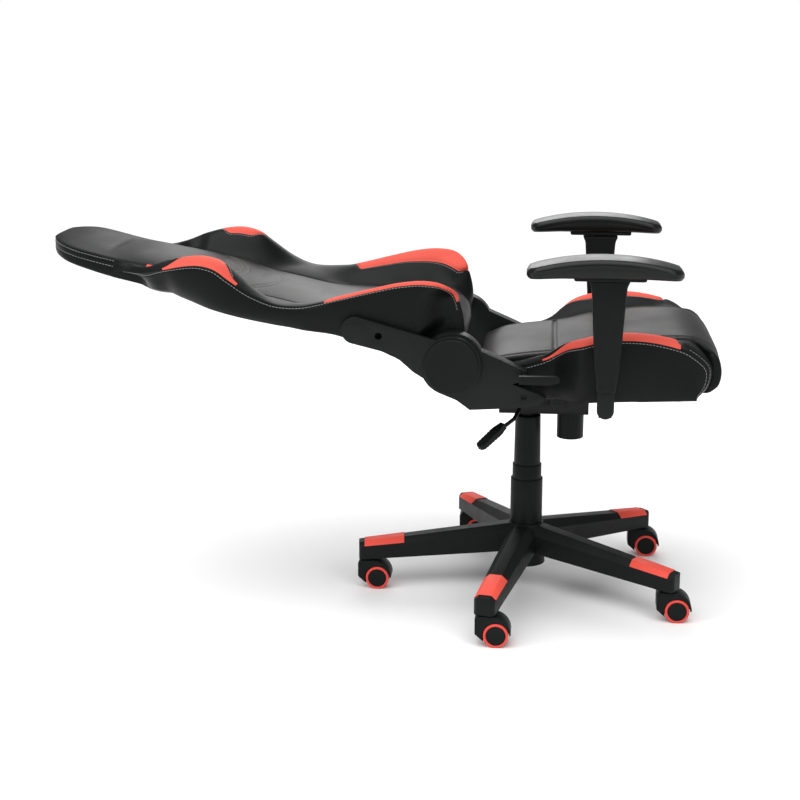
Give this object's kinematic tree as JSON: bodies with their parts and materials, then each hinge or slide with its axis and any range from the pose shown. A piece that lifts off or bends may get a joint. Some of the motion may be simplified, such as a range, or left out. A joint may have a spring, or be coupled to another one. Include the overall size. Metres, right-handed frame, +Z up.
{
  "type": "gaming chair",
  "caption": "Racing-style swivel chair with bolstered seat, laid-back reclining back, height-adjustable armrests and a star base on twin casters.",
  "frame": {"origin": "on the floor under the axis of the gas lift", "axes": "+Z up, -Y the way the sitter faces, +X the sitter's left; the back is laid down along +Y"},
  "size_m": [0.7065, 1.3653, 0.771],
  "materials": {
    "nylon": "moulded black nylon with a fine spark-eroded grain",
    "coral_tyre": "coral-red polyurethane tread",
    "coral_plastic": "coral-red moulded trim",
    "coral_leatherette": "coral-red coated fabric with fine leather grain",
    "black_steel": "black powder coat",
    "bright_steel": "zinc-plated and ground steel",
    "acetal": "natural acetal",
    "webbing": "black woven suspension cloth",
    "arm_foam": "black integral-skin polyurethane",
    "leatherette": "black coated fabric with fine leather grain",
    "grey_leatherette": "satin black-grey coated fabric of the centre panels",
    "thread": "light grey sewing thread"
  },
  "bodies": {
    "base": {"star_base": "nylon", "base_trim_pads": "coral_plastic", "caster_stems": "bright_steel", "stand_tube": "black_steel", "guide_bush": "acetal", "piston_rod": "bright_steel", "thrust_bearing": "bright_steel", "lower_cover": "nylon"},
    "cover_slide": {"middle_cover": "nylon"},
    "lift": {"gas_cylinder": "black_steel", "upper_cover": "nylon"},
    "pin": {"release_pin": "bright_steel"},
    "mechanism": {"tilt_housing": "black_steel", "tilt_spring": "bright_steel"},
    "knob": {"tension_knob": "nylon"},
    "lift_lever": {"height_lever": "black_steel", "height_lever_grip": "nylon"},
    "seat": {"tilt_plate": "black_steel", "tilt_shaft": "bright_steel", "seat_frame": "black_steel", "seat_pan": "webbing", "seat_bolts": "bright_steel", "seat_cushion": "leatherette", "seat_bolster_left": "leatherette", "seat_bolster_right": "leatherette", "arm_bracket_left": "black_steel", "arm_bracket_right": "black_steel", "arm_post_left": "nylon", "arm_post_right": "nylon", "hinge_bracket_left": "nylon", "hinge_bracket_right": "nylon"},
    "arm_left": {"arm_slider_left": "black_steel", "arm_pad_left": "arm_foam"},
    "arm_right": {"arm_slider_right": "black_steel", "arm_pad_right": "arm_foam"},
    "button_left": {"arm_button_left": "nylon"},
    "button_right": {"arm_button_right": "nylon"},
    "back_lever": {"recline_lever": "nylon"},
    "back": {"back_frame": "black_steel", "back_arm_left": "nylon", "back_arm_right": "nylon", "back_pad": "leatherette", "back_wing_left": "leatherette", "back_wing_right": "leatherette", "hinge_caps": "nylon"},
    "caster_1": {"caster_hood_1": "nylon"},
    "wheel_1": {"caster_hub_1": "nylon", "caster_tyre_1": "coral_tyre"},
    "caster_2": {"caster_hood_2": "nylon"},
    "wheel_2": {"caster_hub_2": "nylon", "caster_tyre_2": "coral_tyre"},
    "caster_3": {"caster_hood_3": "nylon"},
    "wheel_3": {"caster_hub_3": "nylon", "caster_tyre_3": "coral_tyre"},
    "caster_4": {"caster_hood_4": "nylon"},
    "wheel_4": {"caster_hub_4": "nylon", "caster_tyre_4": "coral_tyre"},
    "caster_5": {"caster_hood_5": "nylon"},
    "wheel_5": {"caster_hub_5": "nylon", "caster_tyre_5": "coral_tyre"}
  },
  "joints": [
    {"name": "lift_height", "type": "slide", "parent": "base", "child": "lift", "axis": [0, 0, 1], "range_m": [-0.08, 0]},
    {"name": "cover_middle_slide", "type": "slide", "parent": "base", "child": "cover_slide", "axis": [0, 0, 1], "range_m": [-0.03, 0]},
    {"name": "seat_swivel", "type": "hinge", "parent": "lift", "child": "mechanism", "pos_m": [0, 0, 0.43], "axis": [0, 0, 1], "continuous": true},
    {"name": "pin_press", "type": "slide", "parent": "lift", "child": "pin", "axis": [0, 0, 1], "range_m": [-0.005, 0]},
    {"name": "tension_knob_turn", "type": "hinge", "parent": "mechanism", "child": "knob", "pos_m": [0, -0.089, 0.36], "axis": [0, 0, 1], "continuous": true},
    {"name": "height_lever_lift", "type": "hinge", "parent": "mechanism", "child": "lift_lever", "pos_m": [-0.057, 0.006, 0.436], "axis": [0, 1, 0], "range_deg": [0, 4], "stiffness_Nm_per_rad": 8, "springref_deg": -1.15},
    {"name": "seat_tilt", "type": "hinge", "parent": "mechanism", "child": "seat", "pos_m": [0, -0.06, 0.43], "axis": [-1, 0, 0], "range_deg": [0, 12], "stiffness_Nm_per_rad": 300, "springref_deg": -28.65},
    {"name": "back_recline", "type": "hinge", "parent": "seat", "child": "back", "pos_m": [0, 0.149, 0.539], "axis": [1, 0, 0], "range_deg": [0, 68]},
    {"name": "recline_lever_lift", "type": "hinge", "parent": "seat", "child": "back_lever", "pos_m": [-0.259, 0.008, 0.519], "axis": [-1, 0, 0], "range_deg": [0, 25], "stiffness_Nm_per_rad": 0.6, "springref_deg": -11.46},
    {"name": "arm_height_left", "type": "slide", "parent": "seat", "child": "arm_left", "axis": [0, 0, 1], "range_m": [0, 0.07]},
    {"name": "arm_button_press_left", "type": "slide", "parent": "seat", "child": "button_left", "axis": [-1, 0, 0], "range_m": [-0.003, 0], "stiffness_N_per_m": 400},
    {"name": "arm_height_right", "type": "slide", "parent": "seat", "child": "arm_right", "axis": [0, 0, 1], "range_m": [0, 0.07]},
    {"name": "arm_button_press_right", "type": "slide", "parent": "seat", "child": "button_right", "axis": [1, 0, 0], "range_m": [-0.003, 0], "stiffness_N_per_m": 400},
    {"name": "caster_swivel_1", "type": "hinge", "parent": "base", "child": "caster_1", "pos_m": [0.30909, 0.13678, 0.06], "axis": [0, 0, 1], "continuous": true},
    {"name": "wheel_spin_1", "type": "hinge", "parent": "caster_1", "child": "wheel_1", "pos_m": [0.30909, 0.11678, 0.025], "axis": [1, 0, 0], "continuous": true},
    {"name": "caster_swivel_2", "type": "hinge", "parent": "base", "child": "caster_2", "pos_m": [-0.03457, 0.33623, 0.06], "axis": [0, 0, 1], "continuous": true},
    {"name": "wheel_spin_2", "type": "hinge", "parent": "caster_2", "child": "wheel_2", "pos_m": [-0.03457, 0.31623, 0.025], "axis": [1, 0, 0], "continuous": true},
    {"name": "caster_swivel_3", "type": "hinge", "parent": "base", "child": "caster_3", "pos_m": [-0.33045, 0.07102, 0.06], "axis": [0, 0, 1], "continuous": true},
    {"name": "wheel_spin_3", "type": "hinge", "parent": "caster_3", "child": "wheel_3", "pos_m": [-0.33045, 0.05102, 0.025], "axis": [1, 0, 0], "continuous": true},
    {"name": "caster_swivel_4", "type": "hinge", "parent": "base", "child": "caster_4", "pos_m": [-0.16966, -0.29233, 0.06], "axis": [0, 0, 1], "continuous": true},
    {"name": "wheel_spin_4", "type": "hinge", "parent": "caster_4", "child": "wheel_4", "pos_m": [-0.16966, -0.31233, 0.025], "axis": [1, 0, 0], "continuous": true},
    {"name": "caster_swivel_5", "type": "hinge", "parent": "base", "child": "caster_5", "pos_m": [0.2256, -0.2517, 0.06], "axis": [0, 0, 1], "continuous": true},
    {"name": "wheel_spin_5", "type": "hinge", "parent": "caster_5", "child": "wheel_5", "pos_m": [0.2256, -0.2717, 0.025], "axis": [1, 0, 0], "continuous": true}
  ],
  "couplings": [
    {"joint": "cover_middle_slide", "follows": "lift_height", "ratio": 0.375},
    {"joint": "pin_press", "follows": "height_lever_lift", "m_per_rad": -0.057}
  ]
}
